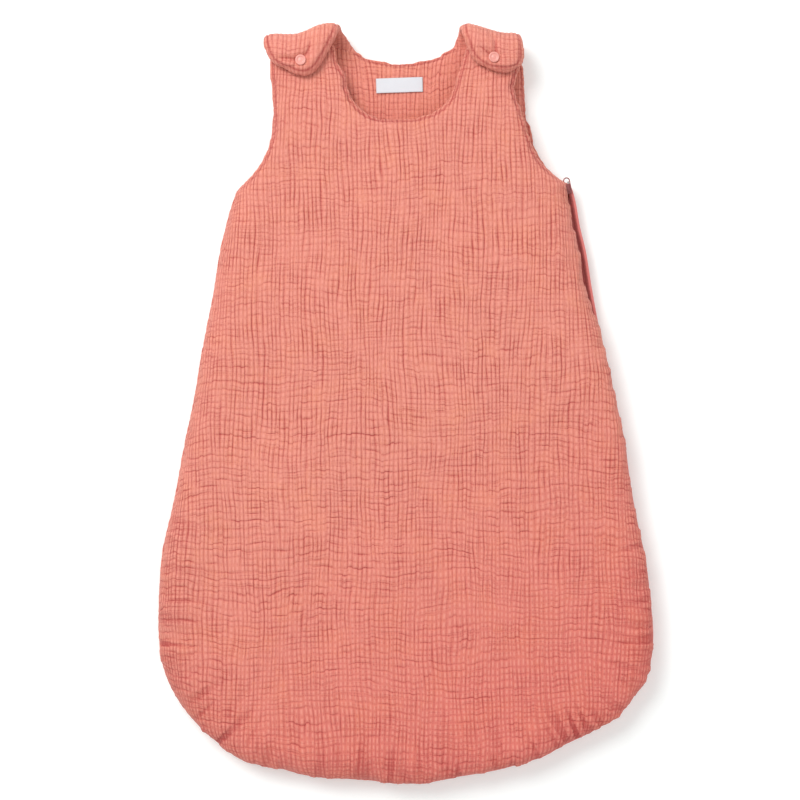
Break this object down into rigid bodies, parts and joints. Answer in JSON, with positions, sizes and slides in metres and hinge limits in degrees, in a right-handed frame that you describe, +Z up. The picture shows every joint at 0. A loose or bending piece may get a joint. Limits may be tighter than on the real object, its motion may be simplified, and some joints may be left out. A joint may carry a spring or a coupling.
{
  "type": "baby sleeping bag",
  "caption": "Sleeveless wadded baby sleeping bag in crinkled gauze, with snapped shoulder flaps and a side zip, lying flat on its back.",
  "frame": {"origin": "centre of the underside's bounding box, on the floor under the back panel", "axes": "+X towards the zip side, +Y towards the shoulders, +Z up out of the floor through the back and then the front"},
  "size_m": [0.4551, 0.698, 0.0472],
  "materials": {
    "outer_gauze": "crinkled cotton double gauze, matt",
    "lining_gauze": "plain cotton double gauze, matt",
    "wadding": "lofted polyester wadding",
    "seam": "folded gauze seam allowance, overlocked",
    "label_tape": "woven satin tape, plain",
    "zip_tape": "woven polyester tape",
    "zip_coil": "nylon coil",
    "snap_plastic": "moulded, satin",
    "zip_metal": "lacquered zinc",
    "stop_metal": "crimped metal"
  },
  "bodies": {
    "back": {"back_outer": "outer_gauze", "back_wadding": "wadding", "back_lining": "lining_gauze", "front_outer_sewn": "outer_gauze", "front_wadding_sewn": "wadding", "front_lining_sewn": "lining_gauze", "left_side_seam": "seam", "snap_studs": "snap_plastic", "snap_posts": "snap_plastic", "zip_tape_back": "zip_tape", "zip_coil_back": "zip_coil", "zip_top_stop": "stop_metal", "zip_bottom_stop": "stop_metal", "neck_label": "label_tape", "care_label": "label_tape"},
    "front_fold": {"front_outer_fold": "outer_gauze", "front_wadding_fold": "wadding", "front_lining_fold": "lining_gauze", "zip_tape_front": "zip_tape", "zip_coil_front": "zip_coil"},
    "left_flap": {"left_flap_outer": "outer_gauze", "left_flap_wadding": "wadding", "left_flap_lining": "lining_gauze", "snap_cap_left": "snap_plastic", "snap_socket_left": "snap_plastic"},
    "right_flap": {"right_flap_outer": "outer_gauze", "right_flap_wadding": "wadding", "right_flap_lining": "lining_gauze", "snap_cap_right": "snap_plastic", "snap_socket_right": "snap_plastic"},
    "zip_slider": {"zip_slider": "zip_metal"},
    "zip_pull": {"zip_pull": "zip_metal"}
  },
  "joints": [
    {"name": "front_fold_hinge", "type": "hinge", "parent": "back", "child": "front_fold", "pos_m": [0, -0.349, 0.04], "axis": [-0.1677, -0.9858, 0], "range_deg": [0, 165]},
    {"name": "left_flap_hinge", "type": "hinge", "parent": "back", "child": "left_flap", "pos_m": [-0.097, 0.349, 0.036], "axis": [-1, 0, 0], "range_deg": [0, 165]},
    {"name": "right_flap_hinge", "type": "hinge", "parent": "back", "child": "right_flap", "pos_m": [0.078, 0.349, 0.036], "axis": [-1, 0, 0], "range_deg": [0, 165]},
    {"name": "zip_slide", "type": "slide", "parent": "back", "child": "zip_slider", "axis": [0.1865, -0.9825, 0], "range_m": [0, 0.368]},
    {"name": "zip_pull_hinge", "type": "hinge", "parent": "zip_slider", "child": "zip_pull", "pos_m": [0.14828, 0.19725, 0.02055], "axis": [0.9825, 0.1865, 0], "range_deg": [0, 180]}
  ]
}
